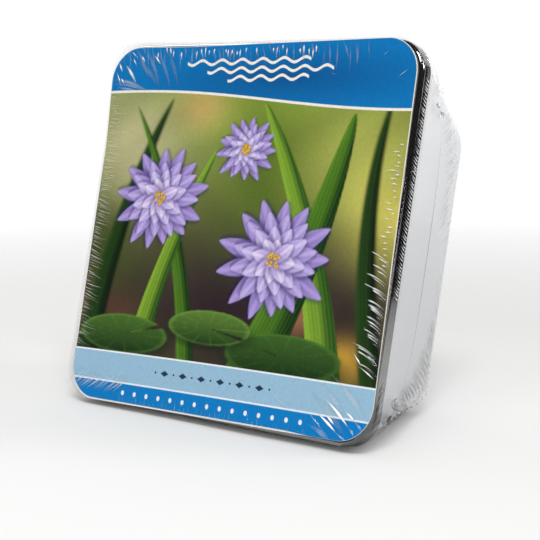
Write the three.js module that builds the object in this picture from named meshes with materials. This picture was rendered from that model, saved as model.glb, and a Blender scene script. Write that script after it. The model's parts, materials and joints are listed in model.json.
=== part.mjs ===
// A square plant tub with a pressed metal lid and a printed card on the lid, shrink-wrapped in clear
// film. The pack lies on one tapered side of the tub, so its face leans back.
//
// Millimetres, +Z up. The pack is drawn in a frame of its own first: X runs to the right, Y runs from
// the lid's face back into the tub, Z runs up the face, and the origin is the middle of the lid's face.
// The whole pack is then leaned back and set down.
import * as THREE from 'three';

// Lid: a shallow tray turned over the mouth of the tub.
const LID_WIDTH = 190;
const LID_CORNER = 16.5;
const LID_SHOULDER = 2;
const LID_WALL = 0.8;
const SKIRT_DEPTH = 8;

// Tub: a tapered square tub with a straight neck inside the lid's skirt.
const PACK_DEPTH = 82;
const BASE_WIDTH = 151;
const BASE_CORNER = 17;
const BASE_EDGE = 3;
const TUB_WALL = 1.6;
const NECK_STEP = 0.5;

// Printed card: it lies a little askew on the lid's face.
const CARD_WIDTH = 188;
const CARD_CORNER = 17.8;
const CARD_THICKNESS = 0.5;
const CARD_TWIST = THREE.MathUtils.degToRad(1);

// Shrink film: taut from the lid's skirt to the edge of the base, with one vent hole in the back.
const FILM_WALL = 0.4;
const FILM_OFF_SKIRT = 0.6;
const FILM_FRONT_EDGE = 0.5;
const VENT_RADIUS = 4;

const GAP = 0.3;
const CORNER_STEPS = 8;
const EDGE_STEPS = 4;

const QUARTER_TURN = Math.PI / 2;
const lidHalf = LID_WIDTH / 2;
const baseHalf = BASE_WIDTH / 2;

// A profile is a list of places { half, corner, depth }. Each stands for a rounded square of that
// half width and corner radius, at that depth behind the lid's face.

// Places on the lid, the neck or the film's front share the middles of the lid's corners.
function lidPlace(half, depth) {
  return { half, corner: LID_CORNER + half - lidHalf, depth };
}

// Places round the base share the middles of the base's corners.
function basePlace(half, depth) {
  return { half, corner: BASE_CORNER + half - baseHalf, depth };
}

// An arc in a profile: half width and depth round a centre, from one angle to another.
function arc(place, centre, radius, from, to) {
  const places = [];
  for (let step = 0; step <= EDGE_STEPS; step += 1) {
    const angle = from + ((to - from) * step) / EDGE_STEPS;
    places.push(place(centre.half + radius * Math.cos(angle), centre.depth + radius * Math.sin(angle)));
  }
  return places;
}

// The corner points of one rounded square, anticlockwise as seen from the front.
function ringPoints({ half, corner, depth }) {
  const points = [];
  for (let side = 0; side < 4; side += 1) {
    const middle = new THREE.Vector2(half - corner, half - corner);
    middle.rotateAround(new THREE.Vector2(), side * QUARTER_TURN);
    for (let step = 0; step <= CORNER_STEPS; step += 1) {
      const angle = (side + step / CORNER_STEPS) * QUARTER_TURN;
      const x = middle.x + corner * Math.cos(angle);
      const z = middle.y + corner * Math.sin(angle);
      points.push(new THREE.Vector3(x, depth, z));
    }
  }
  return points;
}

// A closed solid through the rings of a profile, with a flat cap on its first and last ring.
function loft(profile) {
  const rings = profile.map(ringPoints);
  const count = rings[0].length;
  const vertices = rings.flat();
  const firstMiddle = vertices.push(new THREE.Vector3(0, profile[0].depth, 0)) - 1;
  const lastMiddle = vertices.push(new THREE.Vector3(0, profile.at(-1).depth, 0)) - 1;
  const lastRing = (rings.length - 1) * count;
  const index = [];
  for (let i = 0; i < count; i += 1) {
    const next = (i + 1) % count;
    index.push(firstMiddle, i, next);
    index.push(lastMiddle, lastRing + next, lastRing + i);
    for (let ring = 0; ring < rings.length - 1; ring += 1) {
      const here = ring * count;
      const there = here + count;
      index.push(here + i, there + i, there + next);
      index.push(here + i, there + next, here + next);
    }
  }
  const geometry = new THREE.BufferGeometry().setFromPoints(vertices);
  geometry.setIndex(index);
  return geometry;
}

function piece(name, geometry, material) {
  geometry.computeVertexNormals();
  const mesh = new THREE.Mesh(geometry, new THREE.MeshStandardMaterial(material));
  mesh.name = name;
  return mesh;
}

// The lid's shoulder and the rim of the neck are arcs round one centre.
const shoulder = { half: lidHalf - LID_SHOULDER, depth: LID_SHOULDER };
const neckHalf = lidHalf - LID_WALL - GAP;
const rimRadius = LID_SHOULDER - LID_WALL - GAP;

function makeLid() {
  const innerHalf = lidHalf - LID_WALL;
  return loft([
    ...arc(lidPlace, shoulder, LID_SHOULDER, -QUARTER_TURN, 0),
    lidPlace(lidHalf, SKIRT_DEPTH),
    lidPlace(innerHalf, SKIRT_DEPTH),
    ...arc(lidPlace, shoulder, LID_SHOULDER - LID_WALL, 0, -QUARTER_TURN),
  ]);
}

// The tub's wall starts just past the skirt, one step inside the neck, and tapers to the base.
const wallTop = { half: neckHalf - NECK_STEP, depth: SKIRT_DEPTH + NECK_STEP };
const taper = Math.atan((wallTop.half - baseHalf) / (PACK_DEPTH - wallTop.depth));
const baseEdge = {
  half: baseHalf + BASE_EDGE * Math.tan(taper) - BASE_EDGE / Math.cos(taper),
  depth: PACK_DEPTH - BASE_EDGE,
};

function makeTub() {
  const innerHalf = wallTop.half - TUB_WALL;
  return loft([
    ...arc(basePlace, baseEdge, BASE_EDGE - TUB_WALL, QUARTER_TURN, taper),
    lidPlace(innerHalf, wallTop.depth),
    lidPlace(innerHalf, LID_WALL + GAP),
    ...arc(lidPlace, shoulder, rimRadius, -QUARTER_TURN, 0),
    lidPlace(neckHalf, SKIRT_DEPTH),
    lidPlace(wallTop.half, wallTop.depth),
    ...arc(basePlace, baseEdge, BASE_EDGE, taper, QUARTER_TURN),
  ]);
}

function makeCard() {
  const straight = CARD_WIDTH / 2 - CARD_CORNER;
  const outline = new THREE.Shape();
  for (let side = 0; side < 4; side += 1) {
    const middle = new THREE.Vector2(straight, straight);
    middle.rotateAround(new THREE.Vector2(), side * QUARTER_TURN);
    outline.absarc(middle.x, middle.y, CARD_CORNER, side * QUARTER_TURN, (side + 1) * QUARTER_TURN);
  }
  outline.closePath();
  const card = new THREE.ExtrudeGeometry(outline, {
    depth: CARD_THICKNESS,
    bevelEnabled: false,
    curveSegments: CORNER_STEPS,
  });
  card.rotateX(QUARTER_TURN);
  card.rotateY(-CARD_TWIST);
  card.translate(0, -GAP, 0);
  return card;
}

// The film leaves the skirt's edge in a straight line that just touches the arc round the base's
// edge. Its angle from the pack's depth axis is also the angle at which the pack leans back.
const filmHalf = lidHalf + FILM_OFF_SKIRT;
const filmLeaves = SKIRT_DEPTH + GAP;
const acrossToEdge = filmHalf - baseEdge.half;
const backToEdge = baseEdge.depth - filmLeaves;
const filmRadius = BASE_EDGE + GAP;
const lean =
  Math.acos(filmRadius / Math.hypot(acrossToEdge, backToEdge)) - Math.atan2(backToEdge, acrossToEdge);

function makeFilm() {
  const front = -(GAP + CARD_THICKNESS + GAP);
  const outerHalf = filmHalf + FILM_WALL;
  const outerFront = front - FILM_WALL;
  const outerLeaves = filmLeaves + FILM_WALL * Math.tan(lean / 2);
  const outerRadius = filmRadius + FILM_WALL;
  const vent = (depth) => ({ half: VENT_RADIUS, corner: VENT_RADIUS, depth });
  return loft([
    lidPlace(outerHalf - FILM_FRONT_EDGE, outerFront),
    lidPlace(outerHalf, outerFront + FILM_FRONT_EDGE),
    lidPlace(outerHalf, outerLeaves),
    ...arc(basePlace, baseEdge, outerRadius, lean, QUARTER_TURN),
    vent(baseEdge.depth + outerRadius),
    vent(baseEdge.depth + filmRadius),
    ...arc(basePlace, baseEdge, filmRadius, QUARTER_TURN, lean),
    lidPlace(filmHalf, filmLeaves),
    lidPlace(filmHalf, front),
  ]);
}

const pack = new THREE.Group();
pack.add(piece('tub', makeTub(), { color: 0xeceef2, roughness: 0.45, metalness: 0 }));
pack.add(piece('lid', makeLid(), { color: 0x9a9a98, roughness: 0.12, metalness: 1 }));
pack.add(piece('label_card', makeCard(), { color: 0x1c78b4, roughness: 0.4, metalness: 0 }));
pack.add(
  piece('shrink_film', makeFilm(), {
    color: 0xffffff,
    roughness: 0.08,
    metalness: 0,
    transparent: true,
    opacity: 0.25,
  }),
);

// Lean the pack back until the film's lower side lies level, then set it down with the middle of
// its footprint's box over the origin.
pack.rotation.x = -lean;
const part = new THREE.Group();
part.add(pack);
part.updateMatrixWorld(true);
const box = new THREE.Box3().setFromObject(part, true);
part.position.set(0, -(box.min.y + box.max.y) / 2, -box.min.z);

export default part;
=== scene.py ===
"""Looks of a shrink-wrapped square plant tub: white tub, metal lid, printed card and clear film.

The script works in metres in the row frame. The pack has a frame of its own, in millimetres: u to the
right, v up the lid's face, d back from the face into the tub, with the origin in the middle of the face.
"""

import json
import math

import bpy
import numpy as np
from mathutils import Matrix, Vector


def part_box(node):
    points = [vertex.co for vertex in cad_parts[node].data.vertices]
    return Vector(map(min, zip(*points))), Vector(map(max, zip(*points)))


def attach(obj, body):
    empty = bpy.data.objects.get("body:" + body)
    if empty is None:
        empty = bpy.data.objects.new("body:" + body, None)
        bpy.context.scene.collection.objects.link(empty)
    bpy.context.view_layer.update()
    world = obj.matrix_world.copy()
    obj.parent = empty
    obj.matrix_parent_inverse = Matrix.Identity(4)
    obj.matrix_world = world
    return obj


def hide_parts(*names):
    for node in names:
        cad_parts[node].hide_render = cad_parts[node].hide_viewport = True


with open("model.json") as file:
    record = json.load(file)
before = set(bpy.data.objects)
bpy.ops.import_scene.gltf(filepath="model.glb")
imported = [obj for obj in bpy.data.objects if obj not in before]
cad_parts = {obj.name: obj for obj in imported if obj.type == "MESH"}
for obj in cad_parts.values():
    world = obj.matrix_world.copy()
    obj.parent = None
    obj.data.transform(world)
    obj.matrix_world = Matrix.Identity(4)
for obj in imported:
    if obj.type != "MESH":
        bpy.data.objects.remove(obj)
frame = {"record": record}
scene = bpy.context.scene
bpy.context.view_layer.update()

# ---- driving dimensions, in millimetres

LID_HALF, LID_CORNER, LID_SHOULDER, LID_WALL, SKIRT = 95.0, 16.5, 2.0, 0.8, 8.0
DEPTH, BASE_HALF, BASE_CORNER, BASE_EDGE, TUB_WALL = 82.0, 75.5, 17.0, 3.0, 1.6
CARD_HALF, CARD_CORNER, CARD_THICK, CARD_TWIST = 94.0, 17.8, 0.5, math.radians(1.0)
FILM_OFF_SKIRT, SHEET_OUT, FILM_FRONT = 0.6, 0.15, -1.15
GAP, NECK_STEP = 0.3, 0.5

# The film is one sheet, a little outside the inner face of the CAD film.
FILM_HALF = LID_HALF + FILM_OFF_SKIRT + SHEET_OUT
FILM_EDGE_RADIUS = BASE_EDGE + GAP + SHEET_OUT

# How far out the middles of the corners are, on the lid and on the base.
LID_MIDDLE, BASE_MIDDLE = LID_HALF - LID_CORNER, BASE_HALF - BASE_CORNER

# The middle of the lid's shoulder, the tub's neck, the top of its wall and the arc round its base.
SHOULDER_HALF = LID_HALF - LID_SHOULDER
NECK_HALF = LID_HALF - LID_WALL - GAP
TOP_HALF, TOP_DEPTH = NECK_HALF - NECK_STEP, SKIRT + NECK_STEP
TAPER = math.atan((TOP_HALF - BASE_HALF) / (DEPTH - TOP_DEPTH))
EDGE_HALF = BASE_HALF + BASE_EDGE * math.tan(TAPER) - BASE_EDGE / math.cos(TAPER)
EDGE_DEPTH = DEPTH - BASE_EDGE

# Every random draw comes from this one seeded source, so the order of the draws matters.
some = np.random.default_rng(7).uniform

# ---- the pack's place in the row frame

base_mount = next(m for m in frame["record"]["mounts"] if m["name"] == "tub_base")
LEAN = math.atan2(-base_mount["axis"][2], base_mount["axis"][1])
COS, SIN = math.cos(LEAN), math.sin(LEAN)
lid_low, lid_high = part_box("lid")
ORIGIN_Y = lid_high.y * 1000 - LID_HALF * SIN - SKIRT * COS
ORIGIN_Z = lid_low.z * 1000 + LID_HALF * COS + SKIRT * SIN


def to_row(points):
    """Points (u, d, v) of the pack in millimetres, as row-frame metres."""
    u, d, v = np.moveaxis(np.asarray(points, float), -1, 0)
    return np.stack([u, v * SIN + d * COS + ORIGIN_Y, v * COS - d * SIN + ORIGIN_Z], -1) / 1000


# ---- camera

CAMERA = {"azimuth": 36.96, "elevation": 8.52, "roll": -0.38, "distance": 0.6735}
CAMERA_TARGET = Vector((-0.00452, 0, 0.0695))
CAMERA_LENS = 86.0


def add_thing(name, data):
    thing = bpy.data.objects.new(name, data)
    scene.collection.objects.link(thing)
    return thing


def make_camera():
    azimuth, elevation, roll = (math.radians(CAMERA[k]) for k in ("azimuth", "elevation", "roll"))
    level = math.cos(elevation)
    back = Vector((math.sin(azimuth) * level, -math.cos(azimuth) * level, math.sin(elevation)))
    data = bpy.data.cameras.new("camera")
    data.lens = CAMERA_LENS
    data.sensor_width = 36
    data.clip_start = 0.05
    data.clip_end = 20
    camera = add_thing("camera", data)
    turn = (-back).to_track_quat("-Z", "Y").to_matrix().to_4x4()
    place = Matrix.Translation(CAMERA_TARGET + back * CAMERA["distance"])
    camera.matrix_world = place @ turn @ Matrix.Rotation(roll, 4, "Z")
    scene.camera = camera


make_camera()

# ---- meshes from arrays


def add_mesh(name, points, faces, materials, face_material=None, sharp=None):
    """A mesh piece of the object that rides on the root body. points are row-frame metres."""
    mesh = bpy.data.meshes.new(name)
    mesh.from_pydata(points.tolist(), [], faces)
    for material in materials:
        mesh.materials.append(material)
    if face_material is not None:
        mesh.polygons.foreach_set("material_index", face_material)
    mesh.shade_smooth()
    if sharp is not None:
        mesh.set_sharp_from_angle(angle=math.radians(sharp))
    mesh.update()
    thing = add_thing(name, mesh)
    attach(thing, "root")
    return thing


def add_attribute(thing, name, values):
    attribute = thing.data.attributes.new(name, "FLOAT", "POINT")
    attribute.data.foreach_set("value", np.asarray(values, np.float32).ravel())


# Rings are rounded squares. Each column of a ring is on the same side, the same way round a corner or
# the same share of a straight, so that rings of any size join up. Corners start at the top right.


def ring_columns(corner_steps, straight_steps):
    turn = np.linspace(0, math.pi / 2, corner_steps, endpoint=False)
    share = np.linspace(0, 1, straight_steps, endpoint=False)
    side = np.repeat(np.arange(4), corner_steps + straight_steps)
    angle = np.tile(np.concatenate([turn, np.full(straight_steps, math.pi / 2)]), 4)
    along = np.tile(np.concatenate([np.zeros(corner_steps), share]), 4)
    return side * math.pi / 2, angle, along


def ring(columns, half, middle):
    """u and v of one ring. middle is how far out the middles of its corners are."""
    quarter, angle, along = columns
    corner = half - middle
    x = middle * (1 - 2 * along) + corner * np.cos(angle)
    y = middle + corner * np.sin(angle)
    return x * np.cos(quarter) - y * np.sin(quarter), x * np.sin(quarter) + y * np.cos(quarter)


def loft_points(columns, rows):
    """rows are (half, middle, depth). Returns an array [row, column, (u, d, v)]."""
    made = []
    for half, middle, depth in rows:
        u, v = ring(columns, half, middle)
        made.append(np.stack([u, np.full_like(u, depth), v], -1))
    return np.array(made)


def loft_faces(row_count, column_count):
    here = np.arange(column_count)
    after = np.roll(here, -1)
    faces = []
    for row in range(row_count - 1):
        a, b = row * column_count, (row + 1) * column_count
        faces += np.stack([a + here, b + here, b + after, a + after], -1).tolist()
    return faces


def cap_faces(column_count, ring_start, centre, first):
    """Triangles from a ring to its centre, facing out from the first or the last row."""
    here = ring_start + np.arange(column_count)
    after = np.roll(here, -1)
    middle = np.full(column_count, centre)
    order = [middle, here, after] if first else [here, middle, after]
    return np.stack(order, -1).tolist()


def loft(name, columns, rows, materials, sharp):
    """A closed loft with a flat cap on its first and last ring."""
    points = loft_points(columns, rows)
    row_count, column_count = points.shape[:2]
    flat = points.reshape(-1, 3)
    flat = np.vstack([flat, [[0, rows[0][2], 0], [0, rows[-1][2], 0]]])
    faces = loft_faces(row_count, column_count)
    faces += cap_faces(column_count, 0, len(flat) - 2, True)
    faces += cap_faces(column_count, (row_count - 1) * column_count, len(flat) - 1, False)
    return add_mesh(name, to_row(flat), faces, materials, sharp=sharp)


def arc(centre_half, centre_depth, radius, start, end, steps, middle):
    """Rows along an arc in a profile, from one angle to another, in degrees."""
    angles = np.radians(np.linspace(start, end, steps + 1))
    halves = centre_half + radius * np.cos(angles)
    return [(half, middle, depth) for half, depth in zip(halves, centre_depth + radius * np.sin(angles))]


# ---- materials


def rgb(*values):
    """A linear colour from its display values, 0 to 255."""
    return (np.array(values, float) / 255) ** 2.2


def ink(*values):
    """The same with an opaque alpha, for a node."""
    return (*rgb(*values), 1.0)


class Nodes:
    """The node tree of a material or world, with short names for what is used here."""

    def __init__(self, owner, output="OutputMaterial"):
        owner.use_nodes = True
        self.owner = owner
        self.tree = owner.node_tree
        self.tree.nodes.clear()
        self.output = self.add(output)

    def add(self, kind, inputs=None, **settings):
        node = self.tree.nodes.new("ShaderNode" + kind)
        for key, value in settings.items():
            setattr(node, key, value)
        for key, value in (inputs or {}).items():
            if isinstance(value, bpy.types.NodeSocket):
                self.tree.links.new(value, node.inputs[key])
            else:
                node.inputs[key].default_value = value
        return node

    def math(self, operation, a, b=0.0, c=0.0, clamp=False):
        return self.add("Math", {0: a, 1: b, 2: c}, operation=operation, use_clamp=clamp).outputs[0]

    def attribute(self, name, output="Fac"):
        return self.add("Attribute", attribute_name=name).outputs[output]

    def noise(self, scale, detail=3.0, stretch=(1, 1, 1)):
        place = self.add("TexCoord").outputs["Object"]
        place = self.add("Mapping", {"Vector": place, "Scale": stretch}).outputs[0]
        return self.add("TexNoise", {"Vector": place, "Scale": scale, "Detail": detail}).outputs["Fac"]

    def blend(self, share, a, b):
        """Colour a where share is 0 and b where it is 1."""
        return self.add("Mix", {0: share, 6: a, 7: b}, data_type="RGBA").outputs[2]

    def spread(self, value, low, high, to_low, to_high):
        limits = {"Value": value, "From Min": low, "From Max": high, "To Min": to_low, "To Max": to_high}
        return self.add("MapRange", limits).outputs[0]

    def cosine(self, value, shift, period, swing, level):
        """A wave of that period and swing about a level."""
        angle = self.math("MULTIPLY", self.math("ADD", value, shift), 2 * math.pi / period)
        return self.math("MULTIPLY_ADD", self.math("COSINE", angle), swing, level)

    def above(self, a, b, soft=0.12):
        """1 where a is greater than b, with a soft edge."""
        return self.spread(self.math("SUBTRACT", a, b), -soft, soft, 0, 1)

    def near(self, a, b, half, soft=0.12):
        """1 where a is within half of b, with a soft edge."""
        gap = self.math("ABSOLUTE", self.math("SUBTRACT", a, b))
        return self.spread(gap, half - soft, half + soft, 1, 0)

    def reach(self, a, b):
        """The length of the vector (a, b)."""
        vector = self.add("CombineXYZ", {0: a, 1: b}).outputs[0]
        return self.add("VectorMath", {0: vector}, operation="LENGTH").outputs["Value"]

    def repeat(self, value, shift, period):
        """value as a saw of that period, from minus to plus half of it."""
        saw = self.math("MODULO", self.math("ADD", value, shift), period)
        return self.math("SUBTRACT", saw, period / 2)

    def ornament(self, colour, measure, low, high, within, tone):
        """tone over colour where measure is low, within a part of the card."""
        share = self.math("MULTIPLY", self.spread(measure, low, high, 1, 0), within)
        return self.blend(share, colour, tone)

    def bump(self, height, strength, distance):
        return self.add("Bump", {"Height": height, "Strength": strength, "Distance": distance}).outputs[0]

    def finish(self, shader):
        self.tree.links.new(shader, self.output.inputs["Surface"])
        return self.owner


def new_material(name):
    return Nodes(bpy.data.materials.new(name))


def plastic_material():
    """Moulded white polypropylene, a little uneven in tone and gloss."""
    n = new_material("white_plastic")
    cloud = n.spread(n.noise(9.0, 2.0), 0.35, 0.65, 0, 1)
    colour = n.blend(cloud, (0.65, 0.66, 0.675, 1), (0.69, 0.70, 0.72, 1))
    rough = n.spread(n.noise(40.0), 0.3, 0.7, 0.38, 0.5)
    grain = n.bump(n.noise(900.0, 2.0), 0.25, 0.00005)
    shader = n.add("BsdfPrincipled", {"Base Color": colour, "Roughness": rough, "Normal": grain})
    return n.finish(shader.outputs[0])


def metal_material():
    """Polished tinplate. The skirt, further than the shoulder from the face, is hazier."""
    n = new_material("polished_tinplate")
    haze = n.attribute("haze")
    rub = n.noise(60.0, 4.0, (1, 1, 4))
    rough = n.math("ADD", n.spread(haze, 0, 1, 0.06, 0.11), n.spread(rub, 0.3, 0.7, 0.0, 0.018))
    cloud = n.spread(n.noise(14.0), 0.35, 0.65, 0, 1)
    colour = n.blend(cloud, (0.25, 0.25, 0.25, 1), (0.28, 0.28, 0.28, 1))
    wave = n.bump(n.noise(18.0, 1.0), 0.07, 0.0004)
    looks = {"Base Color": colour, "Metallic": 1.0, "Roughness": rough, "Normal": wave}
    return n.finish(n.add("BsdfPrincipled", looks).outputs[0])


CREAM, WHITE, SLATE = ink(238, 232, 222), ink(236, 240, 244), ink(40, 62, 84)


def print_head(n, u, v, colour):
    """The head band, deeper in its middle, with a swelling lower edge and three ripples on it."""
    edge = n.cosine(u, 70.0, 330.0, 5.5, 65.0)
    middle = n.reach(n.math("MULTIPLY_ADD", u, 1 / 62, -0.35), n.math("MULTIPLY_ADD", v, 1 / 11, -6.9))
    blue = n.blend(n.spread(middle, 0.0, 1.6, 0.95, 0.0), ink(1, 116, 182), ink(0, 82, 142))
    colour = n.blend(n.above(v, edge), colour, blue)
    colour = n.blend(n.near(v, edge, 0.65), colour, CREAM)
    for height, centre, half in ((85.0, -5.0, 39.0), (80.6, 9.0, 39.0), (76.2, 9.0, 25.0)):
        ripple = n.near(v, n.cosine(u, 47.25, 13.0, 1.2, height), 0.75)
        colour = n.blend(n.math("MULTIPLY", ripple, n.near(u, centre, half)), colour, CREAM)
    return colour


def print_foot(n, u, v, colour):
    """The pale strip with lozenges and dots, and the blue foot with drops. Each has a hairline."""
    for level, crown, tone in ((-68.4, 0.6, ink(150, 188, 212)), (-83.7, 0.5, ink(2, 124, 194))):
        edge = n.cosine(u, 0.0, 380.0, crown, level)
        colour = n.blend(n.above(edge, v), colour, tone)
        colour = n.blend(n.near(v, edge, 0.42), colour, WHITE)
    inside = n.near(u, 0.0, 38.5)
    rise = n.math("ADD", v, 75.6)
    wide = n.math("MULTIPLY", n.math("ABSOLUTE", n.repeat(u, 204.0, 12.0)), 1 / 2.6)
    lozenge = n.math("ADD", wide, n.math("MULTIPLY", n.math("ABSOLUTE", rise), 1 / 1.5))
    colour = n.ornament(colour, lozenge, 0.9, 1.1, inside, SLATE)
    dot = n.reach(n.repeat(u, 210.0, 12.0), rise)
    colour = n.ornament(colour, dot, 0.45, 0.65, inside, SLATE)
    drop = n.reach(n.repeat(u, 204.0, 8.0), n.math("MULTIPLY_ADD", v, 0.8, 70.7))
    return n.ornament(colour, drop, 0.85, 1.1, n.near(u, 0.0, 60.0), WHITE)


def print_cut(n, u, v, colour):
    """A hair of bare board along the cut, wider at the foot and narrowest at the lower right."""
    bare = n.spread(v, -88.0, -78.0, 0.75, 0.28)
    slim = n.math("SUBTRACT", n.spread(v, -60.0, -10.0, 0.06, 0.28), bare)
    bare = n.math("MULTIPLY_ADD", n.spread(u, 48.0, 62.0, 0, 1), slim, bare)
    return n.blend(n.above(bare, n.attribute("inset")), colour, CREAM)


def print_material():
    """The card's printed face: a picture held in the mesh under flat bands, hairlines and ornaments."""
    n = new_material("printed_face")
    u, v = n.attribute("card_u"), n.attribute("card_v")
    colour = n.attribute("art", "Color")
    for layer in (print_head, print_foot, print_cut):
        colour = layer(n, u, v, colour)
    fleck = n.spread(n.noise(700.0, 2.0), 0.3, 0.7, 0.94, 1.05)
    colour = n.add("VectorMath", {0: colour, 3: fleck}, operation="SCALE").outputs[0]
    rough = n.spread(n.noise(50.0), 0.3, 0.7, 0.3, 0.4)
    looks = {"Base Color": colour, "Roughness": rough, "Specular IOR Level": 0.12}
    return n.finish(n.add("BsdfPrincipled", looks).outputs[0])


def board_material():
    """The card's white cut edge and back."""
    n = new_material("white_board")
    fibre = n.noise(400.0, 4.0)
    colour = n.blend(fibre, (0.70, 0.64, 0.54, 1), (0.84, 0.80, 0.72, 1))
    looks = {"Base Color": colour, "Roughness": 0.8, "Normal": n.bump(fibre, 0.3, 0.0001)}
    return n.finish(n.add("BsdfPrincipled", looks).outputs[0])


def film_material():
    """Clear shrink film. On the ridges of folds, white is laid on as a painted glint beside the real gloss.
    Under folds, the see-through colour is darkened as painted shade.
    """
    n = new_material("clear_film")
    crease = n.attribute("crease")
    normal = n.bump(n.noise(260.0, 3.0), 0.12, 0.0004)
    slant = n.add("LayerWeight", {"Blend": 0.5, "Normal": normal}).outputs["Facing"]
    mirror = n.math("MULTIPLY_ADD", n.math("POWER", slant, 5.0), 0.12, 0.05)
    shine = n.math("MULTIPLY_ADD", n.math("POWER", crease, 2.0), 0.4, mirror, clamp=True)
    # Painted shade: where folds are marked, the see-through colour darkens towards near black.
    shaded_clear_colour = n.blend(n.attribute("painted_shade"), (0.985, 0.985, 0.985, 1), (0.10, 0.10, 0.11, 1))
    clear = n.add("BsdfTransparent", {"Color": shaded_clear_colour})
    gloss = n.add("BsdfGlossy", {"Color": (1, 1, 1, 1), "Roughness": 0.1, "Normal": normal})
    # Painted glint: a white diffuse layer on the ridges of folds stands in for the glints of the lamps on
    # them.
    glint_white = n.add("BsdfDiffuse", {"Color": (0.98, 0.98, 0.98, 1), "Normal": normal})
    shiny = n.add("MixShader", {0: shine, 1: clear.outputs[0], 2: gloss.outputs[0]}).outputs[0]
    glint_share = n.math("MULTIPLY", n.math("POWER", crease, 1.5), 0.95, clamp=True)
    return n.finish(n.add("MixShader", {0: glint_share, 1: shiny, 2: glint_white.outputs[0]}).outputs[0])


# ---- tub

solid_columns = ring_columns(24, 6)


def make_tub():
    inner_half = TOP_HALF - TUB_WALL
    rim = LID_SHOULDER - LID_WALL - GAP
    slope = math.degrees(TAPER)
    rows = [
        *arc(EDGE_HALF, EDGE_DEPTH, BASE_EDGE - TUB_WALL, 90, slope, 8, BASE_MIDDLE),
        (inner_half, LID_MIDDLE, TOP_DEPTH),
        (inner_half, LID_MIDDLE, LID_WALL + GAP),
        *arc(SHOULDER_HALF, LID_SHOULDER, rim, -90, 0, 6, LID_MIDDLE),
        (NECK_HALF, LID_MIDDLE, SKIRT),
        (TOP_HALF, LID_MIDDLE, TOP_DEPTH),
        *arc(EDGE_HALF, EDGE_DEPTH, BASE_EDGE, slope, 90, 10, BASE_MIDDLE),
    ]
    tub = loft("tub_shell", solid_columns, rows, [plastic_material()], sharp=32)
    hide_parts("tub")


make_tub()

# ---- lid

FACE_INSET, ROLLED_EDGE = 6, 0.15


def make_lid():
    skirt_rows = [(LID_HALF, LID_MIDDLE, depth) for depth in np.linspace(2.6, SKIRT - 0.25, 8)]
    rows = [
        (SHOULDER_HALF - FACE_INSET, LID_MIDDLE - FACE_INSET, 0),
        *arc(SHOULDER_HALF, LID_SHOULDER, LID_SHOULDER, -90, 0, 12, LID_MIDDLE),
        *skirt_rows,
        (LID_HALF - ROLLED_EDGE, LID_MIDDLE, SKIRT),
        (LID_HALF - LID_WALL, LID_MIDDLE, SKIRT),
        *arc(SHOULDER_HALF, LID_SHOULDER, LID_SHOULDER - LID_WALL, 0, -90, 5, LID_MIDDLE),
    ]
    lid = loft("lid_tray", solid_columns, rows, [metal_material()], sharp=35)
    depth = np.repeat([row[2] for row in rows], len(solid_columns[0]))
    add_attribute(lid, "haze", np.append(np.clip((depth - 1.8) / 1.5, 0, 1), [0, 0]))
    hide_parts("lid")


make_lid()

# ---- the lift at the top left corner

CORNER_LIFT, FOOT_WAVE = 2.6, 0.35


def corner_lift(u, v):
    """How far the card and film stand off the lid towards the viewer, in millimetres."""
    reach = np.clip(((v - u) / math.sqrt(2) - 92) / 34, 0, 1)
    bottom = np.clip((-v - 70) / 24, 0, 1)
    return CORNER_LIFT * reach * reach * (3 - 2 * reach) + FOOT_WAVE * bottom * (1 + np.sin(u / 17))


# ---- the printed design, a generic pond


def ramp(low, high, x):
    t = np.clip((x - low) / (high - low), 0, 1)
    return t * t * (3 - 2 * t)


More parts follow.
